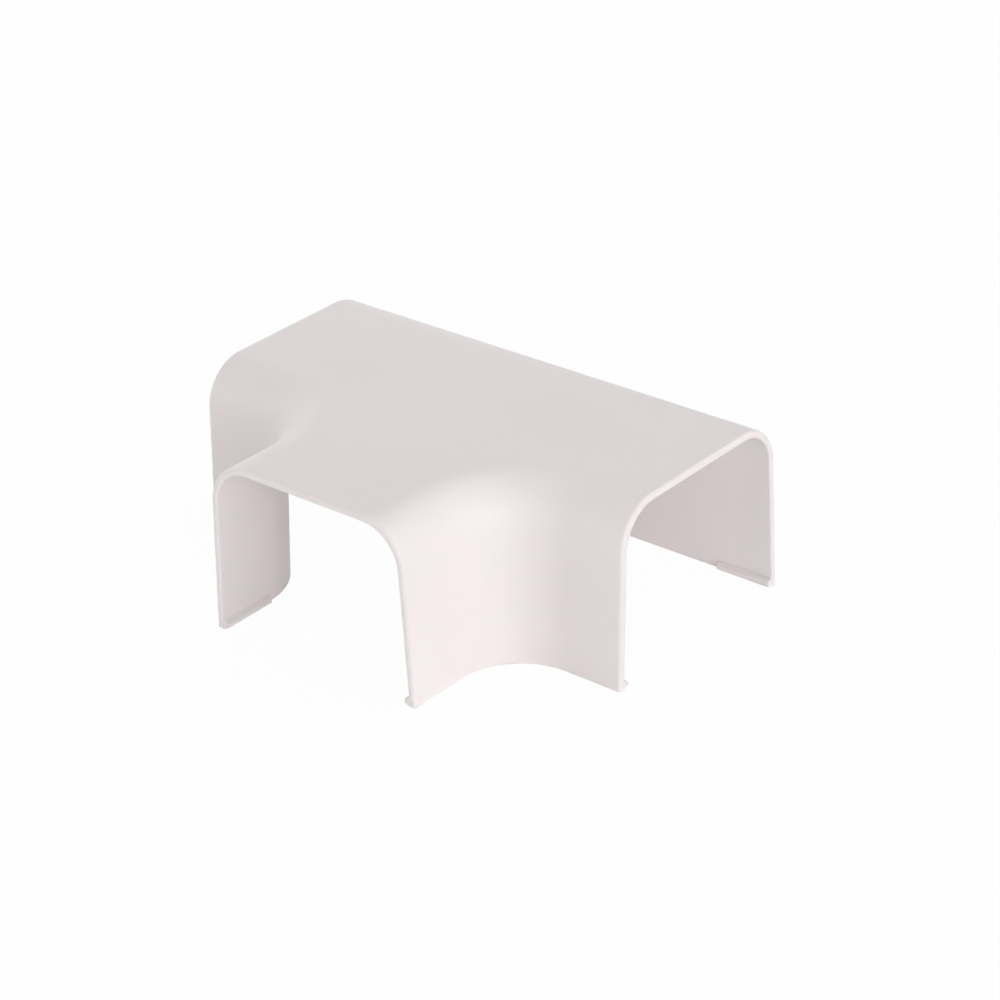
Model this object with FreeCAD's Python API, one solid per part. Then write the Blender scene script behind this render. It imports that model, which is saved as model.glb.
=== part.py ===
"""Tee cover for surface trunking: one thin moulding, three open ends and six catch lips.

The run lies along X and the branch leaves along -Y. The foot plane, which meets the mounting
surface, is Z = 0. The origin is where the centre lines of run and branch cross on that plane.
"""
import FreeCAD, Part
import math
import os

os.makedirs("parts", exist_ok=True)

# Trunking that the three ends slip over
trunk_width = 60.0        # across its foot
trunk_height = 45.0
side_play = 0.5           # left on each side
top_play = 1.0            # left above

# Moulding
wall = 2.0
draft_deg = 2.5           # the walls lean in towards the top
arm_length = 67.0         # from the crossing of the centre lines to each open end
edge_radius = 12.4        # outside round between top and walls
sweep_radius = 17.6       # concave corner between run and branch, at the foot
rim_round = 1.0           # outer edge of each open end
rim_break = 0.6           # its inner edge, broken so that the trunking enters

# Lips that snap under the trunking, one at each foot of each open end
lip_length = 15.6
lip_setback = 0.8         # from the open end
lip_reach = 1.8
lip_root = 2.2            # height at the wall
lip_nose = 1.4            # height at the nose, so the top of the lip falls towards it
lip_round = 0.5           # both edges of the nose

overrun = 5.0             # how far the hollow's cutter passes the ends and the foot
tiny = 1e-6               # two lengths closer than this are the same

lean = math.radians(draft_deg)
height = trunk_height + top_play + wall
foot_half = trunk_width / 2 + side_play + wall
corner_axis = foot_half + sweep_radius     # from each centre line to the axis of the sweep

Z_UP = FreeCAD.Vector(0, 0, 1)
ORIGIN = FreeCAD.Vector(0, 0, 0)


class Skin:
    """Inside or outside surface of the moulding, which lie one wall apart."""

    def __init__(self, inset, past):
        """inset is how far it lies inside the outer surface, past how far it runs on beyond it."""
        self.top = height - inset
        self.half = foot_half - inset
        self.edge = edge_radius - inset
        self.sweep = sweep_radius + inset
        self.past = past
        self.reach = arm_length + past

    def side(self):
        """Foot, end of the wall, middle and end of the round: (distance in from the foot, height)."""
        centre_z = self.top - self.edge
        centre_in = centre_z * math.tan(lean) + self.edge / math.cos(lean)

        def on_round(angle):
            return (centre_in - self.edge * math.cos(angle), centre_z + self.edge * math.sin(angle))

        foot = (-self.past * math.tan(lean), -self.past)
        return foot, on_round(lean), on_round((lean + math.pi / 2) / 2), on_round(math.pi / 2)


def side_edges(points, place):
    """Wall and round of one side; place turns (distance in, height) into a point."""
    foot, wall_end, middle, round_end = [place(*point) for point in points]
    return [Part.makeLine(foot, wall_end), Part.Arc(wall_end, middle, round_end).toShape()]


def bar(skin, start, end):
    """Length of rounded, drafted channel section, solid, from X = start to X = end."""
    points = skin.side()
    front = side_edges(points, lambda inward, z: FreeCAD.Vector(start, inward - skin.half, z))
    back = side_edges(points, lambda inward, z: FreeCAD.Vector(start, skin.half - inward, z))
    crown = Part.makeLine(front[1].lastVertex().Point, back[1].lastVertex().Point)
    foot = Part.makeLine(front[0].firstVertex().Point, back[0].firstVertex().Point)
    outline = Part.Wire(Part.__sortEdges__(front + back + [crown, foot]))
    return Part.Face(outline).extrude(FreeCAD.Vector(end - start, 0, 0))


def notch(skin, side):
    """What the concave corner takes away: the side profile turned about the corner's axis."""
    axis = FreeCAD.Vector(side * corner_axis, -corner_axis, 0)
    points = skin.side()
    edges = side_edges(points, lambda inward, z: axis + FreeCAD.Vector(skin.sweep + inward, 0, z))
    top = axis + FreeCAD.Vector(0, 0, skin.top)
    bottom = axis - FreeCAD.Vector(0, 0, skin.past)
    edges.append(Part.makeLine(edges[1].lastVertex().Point, top))
    edges.append(Part.makeLine(top, bottom))
    edges.append(Part.makeLine(bottom, edges[0].firstVertex().Point))
    profile = Part.Face(Part.Wire(Part.__sortEdges__(edges)))
    return profile.revolve(axis, Z_UP, 360)


def junction(skin):
    """Block between run and branch with a concave swept corner on each side."""
    block = Part.makeBox(2 * corner_axis, corner_axis, skin.top + skin.past,
                         FreeCAD.Vector(-corner_axis, -corner_axis, -skin.past))
    return block.cut([notch(skin, side) for side in (-1, 1)])


def tee(skin):
    """Run, branch and the swept junction between them as one solid."""
    run = bar(skin, -skin.reach, skin.reach)
    branch = bar(skin, 0, skin.reach)
    branch.rotate(ORIGIN, Z_UP, -90)
    return run.fuse([branch, junction(skin)]).removeSplitter()


def on_rim(edge):
    """Whether an edge lies in the plane of an open end and rises above the foot."""
    box = edge.BoundBox
    at_run_end = box.XLength < tiny and abs(abs(box.XMax) - arm_length) < tiny
    at_branch_end = box.YLength < tiny and abs(box.YMin + arm_length) < tiny
    return (at_run_end or at_branch_end) and box.ZMax > tiny


def middle(edge):
    """Point halfway along an edge."""
    return edge.valueAt((edge.FirstParameter + edge.LastParameter) / 2)


def shell():
    """The walls: outer solid with its rims rounded, less the hollow, inner edges broken."""
    outside = tee(Skin(0, 0))
    outside = outside.makeFillet(rim_round, [edge for edge in outside.Edges if on_rim(edge)])
    hollow = tee(Skin(wall, overrun))
    walls = outside.cut(hollow)
    inner = [edge for edge in walls.Edges if on_rim(edge) and hollow.isInside(middle(edge), tiny, True)]
    return walls.makeFillet(rim_break, inner)


def lip():
    """Catch lip on the back wall at the +X end, its root sunk halfway into the wall."""
    start = arm_length - lip_setback - lip_length
    root = foot_half - wall / 2
    face = foot_half - wall
    nose = face - lip_reach
    section = [(root, 0), (nose, 0), (nose, lip_nose), (face, lip_root), (root, lip_root), (root, 0)]
    outline = Part.makePolygon([FreeCAD.Vector(start, y, z) for y, z in section])
    blank = Part.Face(outline).extrude(FreeCAD.Vector(lip_length, 0, 0))
    along = [edge for edge in blank.Edges
             if edge.BoundBox.YMax < nose + tiny and edge.BoundBox.XLength > tiny]
    return blank.makeFillet(lip_round, along)


def lips():
    """The lip and its mirror image at each of the three open ends."""
    back = lip()
    front = back.mirror(ORIGIN, FreeCAD.Vector(0, 1, 0))
    placed = []
    for angle in (0, -90, 180):
        for one in (back, front):
            placed.append(one.copy())
            placed[-1].rotate(ORIGIN, Z_UP, angle)
    return placed


def tee_cover():
    """The moulding: walls and lips as one solid."""
    return shell().fuse(lips()).removeSplitter()


tee_cover().exportStep("parts/tee_cover.step")
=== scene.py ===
"""Looks of the tee cover: one thin white moulding on a pale studio floor.

The moulding stands for the CAD node of the same shape. It is swept in quads so that its large
rounds shade evenly, and every edge that the tool leaves broken has its own small round.
"""
from __future__ import annotations

import logging
import math
from dataclasses import dataclass, field
from enum import Enum

import bmesh
import bpy
from mathutils import Matrix, Vector

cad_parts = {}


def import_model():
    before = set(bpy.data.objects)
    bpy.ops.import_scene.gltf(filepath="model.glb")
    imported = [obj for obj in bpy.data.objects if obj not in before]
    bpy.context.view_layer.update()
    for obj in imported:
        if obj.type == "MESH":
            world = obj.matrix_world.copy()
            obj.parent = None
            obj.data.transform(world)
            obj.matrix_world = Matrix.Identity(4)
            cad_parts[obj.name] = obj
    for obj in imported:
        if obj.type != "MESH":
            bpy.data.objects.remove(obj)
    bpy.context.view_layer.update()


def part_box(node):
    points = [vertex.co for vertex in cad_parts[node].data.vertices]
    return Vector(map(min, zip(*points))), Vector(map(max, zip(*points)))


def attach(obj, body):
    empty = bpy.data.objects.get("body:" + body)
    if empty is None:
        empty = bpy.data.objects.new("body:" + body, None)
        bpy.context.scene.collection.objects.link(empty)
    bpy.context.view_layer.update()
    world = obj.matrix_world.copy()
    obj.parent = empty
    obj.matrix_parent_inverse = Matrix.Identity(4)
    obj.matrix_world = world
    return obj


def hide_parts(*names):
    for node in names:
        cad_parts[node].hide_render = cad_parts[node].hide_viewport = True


LOG = logging.getLogger("tee_cover")

MM = 0.001
NODE = "tee_cover"
BODY = "root"
TINY = 1e-4                   # two lengths in millimetres closer than this are the same


def linear(colour: str) -> tuple[float, float, float, float]:
    """Turn an sRGB hex colour into linear RGBA, by the curve of the sRGB standard.

    Args:
        colour: Six hex digits with a leading hash.

    Returns:
        The linear colour with an alpha of 1.
    """
    channels = [int(colour[place:place + 2], 16) / 255 for place in (1, 3, 5)]
    red, green, blue = [
        value / 12.92 if value <= 0.04045 else ((value + 0.055) / 1.055) ** 2.4
        for value in channels
    ]
    return red, green, blue, 1.0


def add_node(
    tree: bpy.types.NodeTree,
    kind: str,
    settings: dict[str, object] | None = None,
    inputs: dict[str, object] | None = None,
) -> bpy.types.Node:
    """Add a shader node with its settings and its values or links.

    Args:
        tree: Node tree of a material or the world.
        kind: Blender's name for the node type.
        settings: Properties of the node itself.
        inputs: Socket name to a value, or to the output socket that feeds it.

    Returns:
        The new node.
    """
    node = tree.nodes.new(kind)
    for name, value in (settings or {}).items():
        setattr(node, name, value)
    for name, value in (inputs or {}).items():
        if isinstance(value, bpy.types.NodeSocket):
            tree.links.new(value, node.inputs[name])
        else:
            node.inputs[name].default_value = value
    return node


def white_to_viewer(tree: bpy.types.NodeTree) -> bpy.types.NodeSocket:
    """Tell the rays that look at the white ground apart from those that light the object.

    Args:
        tree: Node tree of the floor or the world.

    Returns:
        A socket that is 1 for camera, glossy and transmission rays and 0 for all others.
    """
    rays = add_node(tree, "ShaderNodeLightPath")
    total = rays.outputs["Is Camera Ray"]
    for name in ("Is Glossy Ray", "Is Transmission Ray"):
        both = add_node(tree, "ShaderNodeMath", {"operation": "ADD", "use_clamp": True})
        tree.links.new(total, both.inputs[0])
        tree.links.new(rays.outputs[name], both.inputs[1])
        total = both.outputs["Value"]
    return total


def new_material(name: str) -> bpy.types.Material:
    """Make a node material with an empty tree.

    Args:
        name: Name of the real material and how its surface was made.

    Returns:
        The new material.
    """
    material = bpy.data.materials.new(name)
    material.use_nodes = True
    material.node_tree.nodes.clear()
    return material


@dataclass(frozen=True)
class SatinMouldedPlastic:
    """White PVC, injection moulded in a finely blasted tool.

    It gives the eye a soft, even white with no sharp reflections: light sinks a little way in and
    warms where it bounces inside, and the blasted tool leaves a very fine grain in the sheen.
    """

    colour: str = "#f0e9e9"
    shade: str = "#ebe4e3"
    roughness: float = 0.5
    roughness_spread: float = 0.05
    ior: float = 1.52
    depth_mm: float = 0.9
    depth_ratio: tuple[float, float, float] = (1.0, 0.8, 0.7)     # red sinks in a little further
    scatter: float = 0.12
    grain_mm: float = 0.35      # blasting grit is nearer 0.1 mm, which would not show at this size
    grain_height_mm: float = 0.004
    flow_mm: float = 38.0       # slow drift of shade where the melt front ran

    def build(self) -> bpy.types.Material:
        """Build the material on object coordinates.

        Returns:
            The new material.
        """
        material = new_material("satin_moulded_pvc")
        tree = material.node_tree
        place = add_node(tree, "ShaderNodeTexCoord").outputs["Object"]
        flow = add_node(
            tree, "ShaderNodeTexNoise",
            inputs={"Vector": place, "Scale": 1 / (self.flow_mm * MM), "Detail": 1.0},
        )
        grain = add_node(
            tree, "ShaderNodeTexNoise",
            inputs={"Vector": place, "Scale": 1 / (self.grain_mm * MM), "Detail": 2.0},
        )
        tint = add_node(
            tree, "ShaderNodeMix", {"data_type": "RGBA"},
            {"Factor": flow.outputs["Fac"], "A": linear(self.colour), "B": linear(self.shade)},
        )
        sheen = add_node(
            tree, "ShaderNodeMapRange",
            inputs={
                "Value": grain.outputs["Fac"],
                "To Min": self.roughness - self.roughness_spread,
                "To Max": self.roughness + self.roughness_spread,
            },
        )
        bump = add_node(
            tree, "ShaderNodeBump",
            inputs={"Height": grain.outputs["Fac"], "Distance": self.grain_height_mm * MM},
        )
        shader = add_node(
            tree, "ShaderNodeBsdfPrincipled",
            inputs={
                "Base Color": tint.outputs["Result"],
                "Roughness": sheen.outputs["Result"],
                "Normal": bump.outputs["Normal"],
                "IOR": self.ior,
                "Subsurface Weight": self.scatter,
                "Subsurface Radius": self.depth_ratio,
                "Subsurface Scale": self.depth_mm * MM,
            },
        )
        add_node(tree, "ShaderNodeOutputMaterial", inputs={"Surface": shader.outputs["BSDF"]})
        return material


class Skin(Enum):
    """The two parallel surfaces of the moulding."""

    OUTSIDE = 0
    INSIDE = 1


class Arm(Enum):
    """The three arms of the tee."""

    RIGHT = 0
    LEFT = 1
    BRANCH = 2


@dataclass
class TeeMoulding:
    """The tee cover, swept from the section of one side wall.

    The overall sizes come from the CAD node's box; the rest are the moulding's own, in millimetres.
    """

    finish: SatinMouldedPlastic
    wall: float = 2.0
    draft_deg: float = 2.5
    edge_radius: float = 12.4
    sweep_radius: float = 17.6
    rim_round: float = 1.0
    rim_break: float = 0.6
    foot_break: float = 0.4
    lip_length: float = 16.4    # from the open end
    lip_reach: float = 1.5
    lip_root: float = 2.6       # height where its top slope meets the wall
    nose_high: float = 1.7
    nose_low: float = 0.5       # its lower side rises to here, so the cover snaps on easily
    lip_round: float = 0.4
    bend_deg: float = 40.0      # edges that bend less than this keep their shape and shading
    round_steps: int = 24
    sweep_steps: int = 40
    bevel_steps: int = 4
    reach: float = field(init=False)
    foot_half: float = field(init=False)
    height: float = field(init=False)

    def __post_init__(self) -> None:
        """Take the overall sizes from the CAD node."""
        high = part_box(NODE)[1] / MM
        self.reach, self.foot_half, self.height = high.x, high.y, high.z

    @property
    def lean(self) -> float:
        """Angle at which the walls lean in, in radians."""
        return math.radians(self.draft_deg)

    @property
    def corner_axis(self) -> float:
        """Distance from each centre line to the upright axis of a swept corner."""
        return self.foot_half + self.sweep_radius

    def inset(self, skin: Skin) -> float:
        """How far a skin lies inside the outer surface."""
        return self.wall * skin.value

    def round_centre(self, skin: Skin) -> tuple[float, float]:
        """Centre of a skin's round between wall and top.

        Args:
            skin: Outside or inside surface.

        Returns:
            Its distance from the channel's centre line and its height.
        """
        inset = self.inset(skin)
        radius = self.edge_radius - inset
        height = self.height - inset - radius
        inward = height * math.tan(self.lean) + radius / math.cos(self.lean)
        return self.foot_half - inset - inward, height

    def on_wall(self, skin: Skin, height: float) -> float:
        """Distance of a skin's straight wall from the centre line at a height above the foot."""
        return self.foot_half - self.inset(skin) - height * math.tan(self.lean)

    def depth(self, across: float, height: float) -> float:
        """Depth of a point of the section below the outer surface.

        Args:
            across: Distance from the channel's centre line.
            height: Height above the foot.

        Returns:
            The depth in millimetres.
        """
        centre, centre_height = self.round_centre(Skin.OUTSIDE)
        if across <= centre:
            return self.height - height
        if height >= centre_height:
            return self.edge_radius - math.hypot(across - centre, height - centre_height)
        return (self.on_wall(Skin.OUTSIDE, height) - across) * math.cos(self.lean)

    def section(self, bm: bmesh.types.BMesh) -> list[bmesh.types.BMEdge]:
        """Draw the front wall's section at the +X end, from the outer crown round to the inner.

        Args:
            bm: Empty bmesh, in millimetres.

        Returns:
            The edges of the open outline.
        """
        turn = math.pi / 2 - self.lean
        centre, centre_height = self.round_centre(Skin.OUTSIDE)
        tip = bmesh.ops.create_vert(bm, co=(self.reach, -centre, self.height))["vert"][0]
        tip = self.arc(bm, tip, (self.reach, -centre, centre_height), turn)
        centre, centre_height = self.round_centre(Skin.INSIDE)
        wall_end = Vector((0, -math.cos(self.lean), math.sin(self.lean)))
        wall_end *= self.edge_radius - self.wall
        wall_end += Vector((self.reach, -centre, centre_height))
        for across, height in (
            (self.on_wall(Skin.OUTSIDE, 0), 0),
            (self.on_wall(Skin.INSIDE, 0), 0),
            (self.on_wall(Skin.INSIDE, self.lip_root), self.lip_root),
            (-wall_end.y, wall_end.z),
        ):
            tip = bmesh.ops.extrude_vert_indiv(bm, verts=[tip])["verts"][0]
            tip.co = (self.reach, -across, height)
        self.arc(bm, tip, (self.reach, -centre, centre_height), -turn)
        return list(bm.edges)

    def arc(
        self,
        bm: bmesh.types.BMesh,
        start: bmesh.types.BMVert,
        centre: tuple[float, float, float],
        angle: float,
    ) -> bmesh.types.BMVert:
        """Spin a vertex about a line along X.

        Args:
            bm: The bmesh.
            start: Vertex to spin.
            centre: Point on the line.
            angle: Turn in radians.

        Returns:
            The last vertex of the arc.
        """
        spun = bmesh.ops.spin(
            bm, geom=[start], cent=centre, axis=(1, 0, 0), angle=angle, steps=self.round_steps
        )
        return next(item for item in spun["geom_last"] if isinstance(item, bmesh.types.BMVert))

    def sweep(
        self,
        bm: bmesh.types.BMesh,
        outline: list[bmesh.types.BMEdge],
        by: tuple[float, float, float],
    ) -> list[bmesh.types.BMEdge]:
        """Extrude an outline along a straight line.

        Args:
            bm: The bmesh.
            outline: Edges to extrude.
            by: How far the outline moves.

        Returns:
            The outline's edges at the far end.
        """
        made = bmesh.ops.extrude_edge_only(bm, edges=outline)["geom"]
        verts = [item for item in made if isinstance(item, bmesh.types.BMVert)]
        bmesh.ops.translate(bm, verts=verts, vec=by)
        return [item for item in made if isinstance(item, bmesh.types.BMEdge)]

    def walls(self, bm: bmesh.types.BMesh) -> None:
        """Sweep the side walls: straight, round the concave corner and out along the branch.

        Args:
            bm: Empty bmesh, in millimetres.
        """
        arm = (self.lip_length, self.reach - self.lip_length - self.corner_axis)
        front = self.section(bm)
        copied = bmesh.ops.duplicate(bm, geom=list(bm.verts) + list(bm.edges))["geom"]
        back = [item for item in copied if isinstance(item, bmesh.types.BMEdge)]
        back_verts = [item for item in copied if isinstance(item, bmesh.types.BMVert)]
        bmesh.ops.scale(bm, verts=back_verts, vec=(1, -1, 1))
        for length in (*arm, self.corner_axis):
            back = self.sweep(bm, back, (-length, 0, 0))

        for length in arm:
            front = self.sweep(bm, front, (-length, 0, 0))
        front_verts = list({vert for edge in front for vert in edge.verts})
        spun = bmesh.ops.spin(
            bm,
            geom=front_verts + front,
            cent=(self.corner_axis, -self.corner_axis, 0),
            axis=(0, 0, 1),
            angle=math.pi / 2,
            steps=self.sweep_steps,
        )
        front = [item for item in spun["geom_last"] if isinstance(item, bmesh.types.BMEdge)]
        for length in reversed(arm):
            front = self.sweep(bm, front, (0, -length, 0))
        half = bm.verts[:] + bm.edges[:] + bm.faces[:]
        bmesh.ops.mirror(bm, geom=half, axis="X", merge_dist=TINY)
        bmesh.ops.remove_doubles(bm, verts=bm.verts, dist=TINY)

    def at_end(self, point: Vector) -> bool:
        """Whether a point lies in the plane of an open end."""
        return abs(abs(point.x) - self.reach) < TINY or abs(point.y + self.reach) < TINY

    def close_top(self, bm: bmesh.types.BMesh, skin: Skin) -> None:
        """Fill the flat top of one skin between the crowns of the walls.

        Args:
            bm: The swept walls.
            skin: Outside or inside surface.
        """
        level = self.height - self.inset(skin)
        crown = [
            edge for edge in bm.edges
            if edge.is_boundary and all(abs(vert.co.z - level) < TINY for vert in edge.verts)
        ]
        corners = {vert for edge in crown for vert in edge.verts if self.at_end(vert.co)}
        for arm in Arm:
            pair = [vert for vert in corners if self.arm_of(vert.co) == arm]
            crown += bmesh.ops.contextual_create(bm, geom=pair)["edges"]
        bmesh.ops.contextual_create(bm, geom=crown)

    def arm_of(self, point: Vector) -> Arm:
        """Tell which arm of the tee a point beyond the concave corners belongs to.

        Args:
            point: Point of the moulding, in millimetres.

        Returns:
            The arm.
        """
        if point.y < -self.corner_axis + TINY:
            return Arm.BRANCH
        return Arm.RIGHT if point.x > 0 else Arm.LEFT

    def along(self, point: Vector) -> float:
        """Distance of a point of an arm from the crossing of the centre lines."""
        return -point.y if self.arm_of(point) == Arm.BRANCH else abs(point.x)

    def across(self, point: Vector) -> float:
        """Distance of a point of an arm from the arm's centre line."""
        return abs(point.x) if self.arm_of(point) == Arm.BRANCH else abs(point.y)

    def raise_lips(self, bm: bmesh.types.BMesh) -> None:
        """Pull the catch lips out of the inner wall at each foot of each open end.

        Args:
            bm: The closed walls.
        """
        feet = [face for face in bm.faces if self.is_lip_root(face)]
        for face in bmesh.ops.extrude_discrete_faces(bm, faces=feet)["faces"]:
            axis = 0 if abs(face.normal.x) > abs(face.normal.y) else 1
            for vert in face.verts:
                vert.co[axis] = math.copysign(self.nose, vert.co[axis])
                vert.co.z = self.nose_low if vert.co.z < self.nose_low else self.nose_high

    @property
    def nose(self) -> float:
        """Distance of a lip's nose from the arm's centre line."""
        return self.foot_half - self.wall - self.lip_reach

    def is_lip_root(self, face: bmesh.types.BMFace) -> bool:
        """Tell whether a lip grows from a face.

        Args:
            face: Any face of the closed walls.

        Returns:
            True for the low strips of inner wall at the open ends.
        """
        heights = [vert.co.z for vert in face.verts]
        if abs(max(heights) - self.lip_root) > TINY or min(heights) > TINY:
            return False
        lip_end = self.reach - self.lip_length
        return all(self.along(vert.co) > lip_end - TINY for vert in face.verts)

    def edge_round(self, edge: bmesh.types.BMEdge) -> float:
        """Radius that breaks a convex edge of the moulding.

        Args:
            edge: An edge between two faces at a wide angle.

        Returns:
            The radius in millimetres.
        """
        middle = (edge.verts[0].co + edge.verts[1].co) / 2
        if any(self.on_nose(vert.co) for vert in edge.verts):
            # The low edge of a lip's inner end stays sharp: its round would dip below the foot.
            at_foot = min(vert.co.z for vert in edge.verts) < TINY
            return 0.0 if at_foot and not self.at_end(middle) else self.lip_round
        if all(self.at_end(vert.co) for vert in edge.verts) and middle.z > TINY:
            outer = self.depth(self.across(middle), middle.z) < self.wall / 2
            return self.rim_round if outer else self.rim_break
        return self.foot_break

    def on_nose(self, point: Vector) -> bool:
        """Whether a point lies on the nose of a lip."""
        return self.along(point) > self.corner_axis and abs(self.across(point) - self.nose) < TINY

    def mark_edges(self, bm: bmesh.types.BMesh) -> None:
        """Give each convex edge its share of the bevel's width and keep the concave ones sharp.

        Args:
            bm: The finished sharp-edged moulding.
        """
        share = bm.edges.layers.float.new("bevel_weight_edge")
        sharp = math.radians(self.bend_deg)
        for edge in bm.edges:
            bend = edge.calc_face_angle_signed(0)
            if bend > sharp:
                edge[share] = self.edge_round(edge) / self.rim_round
            edge.smooth = bend > -sharp

    def mesh(self) -> bpy.types.Mesh:
        """Build the sharp-edged mesh in metres.

        Returns:
            The mesh, with bevel weights on its edges.
        """
        bm = bmesh.new()
        self.walls(bm)
        for skin in Skin:
            self.close_top(bm, skin)
        bmesh.ops.holes_fill(bm, edges=[edge for edge in bm.edges if edge.is_boundary])
        bmesh.ops.recalc_face_normals(bm, faces=bm.faces)
        self.raise_lips(bm)
        bmesh.ops.recalc_face_normals(bm, faces=bm.faces)
        self.mark_edges(bm)
        for face in bm.faces:
            face.smooth = True
        bmesh.ops.transform(bm, matrix=Matrix.Scale(MM, 4), verts=bm.verts)
        mesh = bpy.data.meshes.new("tee_cover_moulding")
        bm.to_mesh(mesh)
        bm.free()
        return mesh

    def build(self) -> bpy.types.Object:
        """Build, dress and place the moulding.

        Returns:
            The finished piece, riding on the root body.
        """
        piece = bpy.data.objects.new("tee_cover_moulding", self.mesh())
        bpy.context.scene.collection.objects.link(piece)
        piece.data.materials.append(self.finish.build())
        rounds = piece.modifiers.new("edge_rounds", "BEVEL")
        rounds.limit_method = "WEIGHT"
        rounds.width = self.rim_round * MM
        rounds.segments = self.bevel_steps
        rounds.use_clamp_overlap = False
        shading = piece.modifiers.new("even_shading", "WEIGHTED_NORMAL")
        shading.keep_sharp = True
        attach(piece, BODY)
        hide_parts(NODE)
        return piece


@dataclass(frozen=True)
class PaintedFloor:
    """Matt white painted board, a plain ground that shows almost white to the camera."""

    colour: str = "#f6f6f6"
    roughness: float = 0.9
    white_share: float = 0.97      # the rest is the lit paint, which keeps a faint shadow

    def build(self) -> bpy.types.Material:
        """Build the floor's material.

        Returns:
            The new material.
        """
        material = new_material("matt_white_board")
        tree = material.node_tree
        paint = add_node(
            tree, "ShaderNodeBsdfPrincipled",
            inputs={"Base Color": linear(self.colour), "Roughness": self.roughness},
        )
        white = add_node(tree, "ShaderNodeEmission", inputs={"Strength": 1.0})
        share = add_node(
            tree, "ShaderNodeMapRange",
            inputs={"Value": white_to_viewer(tree), "To Max": self.white_share},
        )
        mixed = add_node(tree, "ShaderNodeMixShader", inputs={"Fac": share.outputs["Result"]})
        tree.links.new(paint.outputs["BSDF"], mixed.inputs[1])
        tree.links.new(white.outputs["Emission"], mixed.inputs[2])
        add_node(tree, "ShaderNodeOutputMaterial", inputs={"Surface": mixed.outputs["Shader"]})
        return material


@dataclass(frozen=True)
class SoftBox:
    """A rectangular studio light that looks at the moulding."""

    name: str
    azimuth: float
    elevation: float
    strength: float
    distance: float = 1.6
    width: float = 1.6

    def build(self, aim: Vector) -> None:
        """Hang the light and turn it to a point.

        Args:
            aim: Point that the light faces, in metres.
        """
        lamp = bpy.data.lights.new(self.name, "AREA")
        lamp.shape = "SQUARE"
        lamp.size = self.width
        lamp.energy = self.strength
        place = direction(self.azimuth, self.elevation) * self.distance
        holder = bpy.data.objects.new(self.name, lamp)
        holder.location = aim + place
        holder.rotation_euler = place.to_track_quat("Z", "Y").to_euler()
        bpy.context.scene.collection.objects.link(holder)


def direction(azimuth: float, elevation: float) -> Vector:
    """Unit vector from the object to a viewer; azimuth 0 stands at -Y and turns towards +X.

    Args:
        azimuth: Degrees round the upright axis.
        elevation: Degrees above the floor.

    Returns:
        The direction.
    """
    around, above = math.radians(azimuth), math.radians(elevation)
    return Vector((
        math.sin(around) * math.cos(above), -math.cos(around) * math.cos(above), math.sin(above)
    ))


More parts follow.
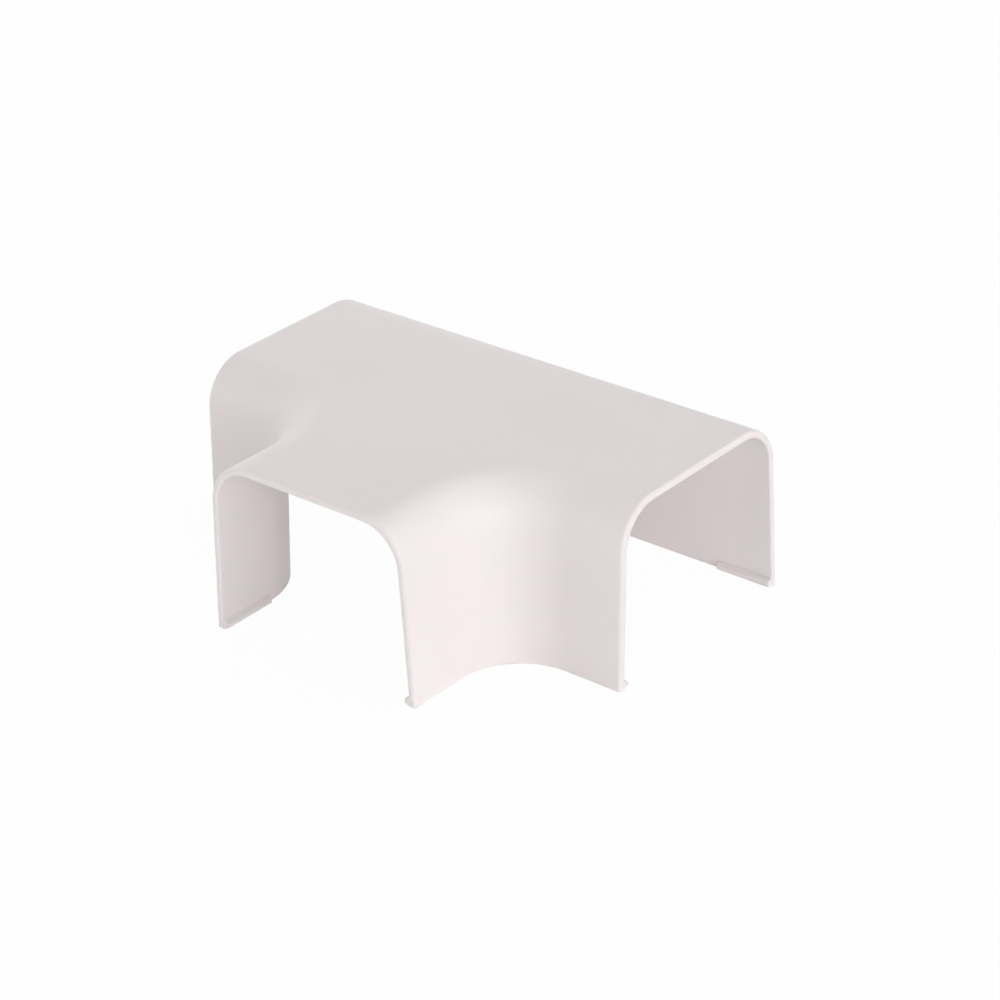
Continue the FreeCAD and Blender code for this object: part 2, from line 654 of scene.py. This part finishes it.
@dataclass
class Studio:
    """Floor, sky and lights."""

    floor: PaintedFloor = PaintedFloor()
    floor_size: float = 12.0
    ambient: float = 0.12
    ambient_colour: str = "#ffffff"
    aim: tuple[float, float, float] = (0, -0.015, 0.024)     # middle of the moulding
    lights: tuple[SoftBox, ...] = (
        SoftBox("low_right", 75, 5, 20.3),
        SoftBox("low_camera_side", 45, 5, 10.0),
        SoftBox("low_front", -30, 5, 9.9),
        SoftBox("low_left", -75, 5, 9.2),
        SoftBox("far_left", -120, 5, 9.4),
        SoftBox("back_high", 150, 60, 12.7),
    )

    def build(self) -> None:
        """Lay the floor, light the world and hang the lights."""
        bm = bmesh.new()
        bmesh.ops.create_grid(bm, x_segments=1, y_segments=1, size=self.floor_size / 2)
        mesh = bpy.data.meshes.new("studio_floor")
        bm.to_mesh(mesh)
        bm.free()
        floor = bpy.data.objects.new("studio_floor", mesh)
        mesh.materials.append(self.floor.build())
        bpy.context.scene.collection.objects.link(floor)
        self.sky()
        for light in self.lights:
            light.build(Vector(self.aim))

    def sky(self) -> None:
        """Even sky light that shows white behind the object."""
        world = bpy.data.worlds.new("studio_sky")
        bpy.context.scene.world = world
        world.use_nodes = True
        tree = world.node_tree
        tree.nodes.clear()
        light = add_node(
            tree, "ShaderNodeBackground",
            inputs={"Color": linear(self.ambient_colour), "Strength": self.ambient},
        )
        white = add_node(
            tree, "ShaderNodeBackground", inputs={"Color": (1, 1, 1, 1), "Strength": 1.0}
        )
        mixed = add_node(tree, "ShaderNodeMixShader", inputs={"Fac": white_to_viewer(tree)})
        tree.links.new(light.outputs["Background"], mixed.inputs[1])
        tree.links.new(white.outputs["Background"], mixed.inputs[2])
        add_node(tree, "ShaderNodeOutputWorld", inputs={"Surface": mixed.outputs["Shader"]})


@dataclass(frozen=True)
class StudioCamera:
    """Long lens, looking down on the branch's right-hand corner."""

    azimuth: float = 40.27
    elevation: float = 28.04
    roll: float = -2.005
    distance: float = 0.7629
    aim: tuple[float, float, float] = (0.008039, -0.004527, 0.021511)
    lens_mm: float = 109.22
    sensor_mm: float = 36.0

    def build(self) -> None:
        """Place the camera and make it the scene's own."""
        back = direction(self.azimuth, self.elevation)
        data = bpy.data.cameras.new("studio_camera")
        data.lens = self.lens_mm
        data.sensor_fit = "HORIZONTAL"
        data.sensor_width = self.sensor_mm
        camera = bpy.data.objects.new("studio_camera", data)
        turn = back.to_track_quat("Z", "Y").to_matrix().to_4x4()
        tilt = Matrix.Rotation(math.radians(self.roll), 4, "Z")
        place = Matrix.Translation(Vector(self.aim) + back * self.distance)
        camera.matrix_world = place @ turn @ tilt
        bpy.context.scene.collection.objects.link(camera)
        bpy.context.scene.camera = camera


def main() -> None:
    """Build the moulding, the studio and the camera."""
    logging.basicConfig(level=logging.INFO, format="%(name)s: %(message)s")
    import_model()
    bpy.context.scene.view_settings.view_transform = "Standard"

    piece = TeeMoulding(SatinMouldedPlastic()).build()
    LOG.info("%s: %d faces before its edge rounds", piece.name, len(piece.data.polygons))
    Studio().build()
    LOG.info("studio: floor, sky and lights")
    StudioCamera().build()
    LOG.info("camera in place")


if __name__ == "__main__":
    main()
